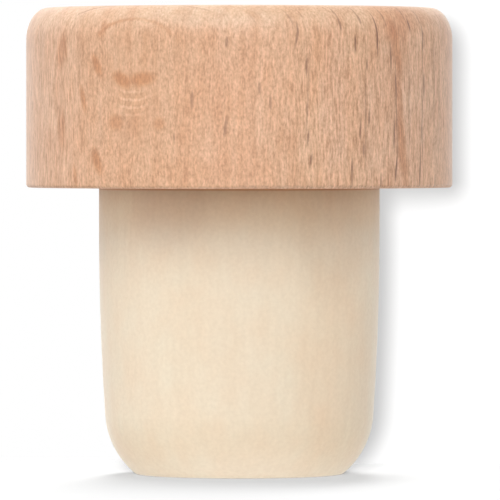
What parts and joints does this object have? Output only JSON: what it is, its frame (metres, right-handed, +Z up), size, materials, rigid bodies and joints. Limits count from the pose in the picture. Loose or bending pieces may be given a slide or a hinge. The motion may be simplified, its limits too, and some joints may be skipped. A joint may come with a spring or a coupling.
{
  "type": "bottle stopper",
  "caption": "T-shaped bottle stopper: a turned beech cap glued onto a pale, slightly tapered synthetic cork shank with a rounded lower end.",
  "frame": {"origin": "centre of the flat lower end of the shank", "axes": "+Z up along the stopper's own axis, from the shank's end to the cap; X and Y across it, with -Y towards the picture's viewer"},
  "size_m": [0.029, 0.029, 0.0317],
  "materials": {
    "beech": "raw turned beech, sanded and left without varnish, upright grain",
    "synthetic_cork": "matte moulded skin of foamed synthetic cork, cream"
  },
  "bodies": {
    "root": {"wood_cap": "beech", "synthetic_shank": "synthetic_cork"}
  },
  "joints": []
}
